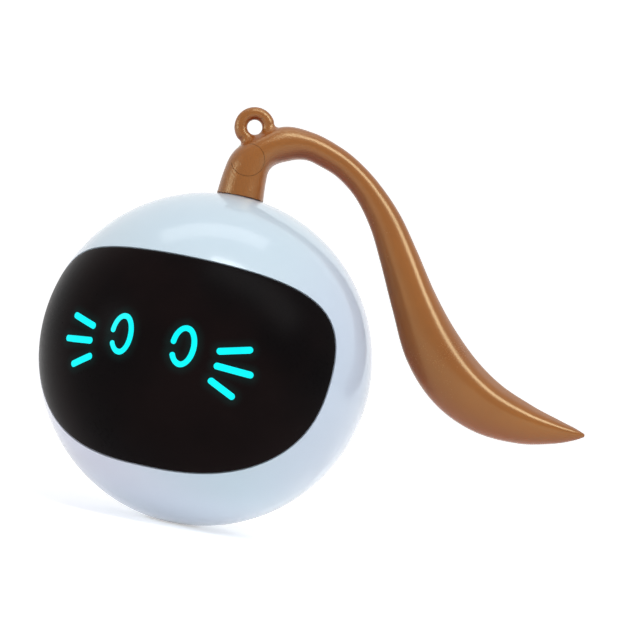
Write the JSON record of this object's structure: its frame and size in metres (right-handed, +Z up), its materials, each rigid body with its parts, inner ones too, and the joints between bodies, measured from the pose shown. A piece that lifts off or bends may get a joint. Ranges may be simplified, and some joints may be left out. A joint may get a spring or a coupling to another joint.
{
  "type": "light-up cat ball",
  "caption": "Rolling cat toy ball with a lit face window, a soft swivelling tail with a cord eyelet, and a geared motor inside that swings an eccentric weight.",
  "frame": {"origin": "lowest point of the ball, where it rests on the floor with its neck upright", "axes": "+Z up along the neck's swivel axis, -Y out of the face, +X to the side that the tail hangs on"},
  "size_m": [0.1128, 0.0703, 0.0894],
  "materials": {
    "shell_plastic": "smooth gloss, pale blue",
    "window_plastic": "polished dark",
    "lit_plastic": "clear, lit cyan",
    "tail_rubber": "soft gloss brown",
    "nylon": "moulded natural",
    "frame_plastic": "moulded grey",
    "black_plastic": "moulded black",
    "board_laminate": "green laminate",
    "steel": "plain",
    "weight_metal": "die cast",
    "brass": "plain",
    "cell_foil": "foil",
    "tape_foam": "foam",
    "wire_skin": "soft insulation"
  },
  "bodies": {
    "ball": {"front_shell": "shell_plastic", "rear_shell": "shell_plastic", "shell_screws": "steel", "face_window": "window_plastic", "face_light_guide": "lit_plastic", "led_board": "board_laminate", "face_leds": "nylon", "led_board_screws": "steel", "motor_plate": "frame_plastic", "bearing_plate": "frame_plastic", "tie_rods": "steel", "frame_screws": "steel", "motor_can": "steel", "motor_end_cap": "black_plastic", "motor_screws": "steel", "idler_pin": "steel", "axle_bushes": "brass", "battery_shelf": "frame_plastic", "battery_tape": "tape_foam", "battery_cell": "cell_foil", "main_board": "board_laminate", "controller_chip": "black_plastic", "vibration_sensor": "brass", "usb_socket": "steel", "button_switch": "black_plastic", "board_screws": "steel", "battery_leads": "wire_skin", "motor_leads": "wire_skin", "led_leads": "wire_skin"},
    "tail_body": {"tail": "tail_rubber", "tail_lock_pin": "tail_rubber", "tail_stem": "nylon", "swivel_washer": "steel", "swivel_screw": "steel"},
    "drive": {"drive_axle": "steel", "output_gear": "nylon", "swing_weight": "weight_metal"},
    "idler": {"idler_gear": "nylon"},
    "rotor": {"motor_shaft": "steel", "motor_pinion": "brass", "motor_armature": "brass"},
    "button": {"power_button": "shell_plastic", "switch_plunger": "nylon"}
  },
  "joints": [
    {"name": "tail_swivel", "type": "hinge", "parent": "ball", "child": "tail_body", "pos_m": [0, 0, 0.07], "axis": [0, 0, 1], "continuous": true},
    {"name": "weight_spin", "type": "hinge", "parent": "ball", "child": "drive", "pos_m": [0, 0, 0.035], "axis": [1, 0, 0], "continuous": true},
    {"name": "idler_spin", "type": "hinge", "parent": "ball", "child": "idler", "pos_m": [0, 0.00325, 0.02345], "axis": [1, 0, 0], "continuous": true},
    {"name": "motor_spin", "type": "hinge", "parent": "ball", "child": "rotor", "pos_m": [0, -0.00804, 0.0275], "axis": [1, 0, 0], "continuous": true},
    {"name": "button_press", "type": "slide", "parent": "ball", "child": "button", "axis": [0, -1, 0], "range_m": [0, 0.0004], "stiffness_N_per_m": 1500}
  ],
  "couplings": [
    {"joint": "idler_spin", "follows": "weight_spin", "ratio": -3},
    {"joint": "motor_spin", "follows": "weight_spin", "ratio": 9}
  ]
}
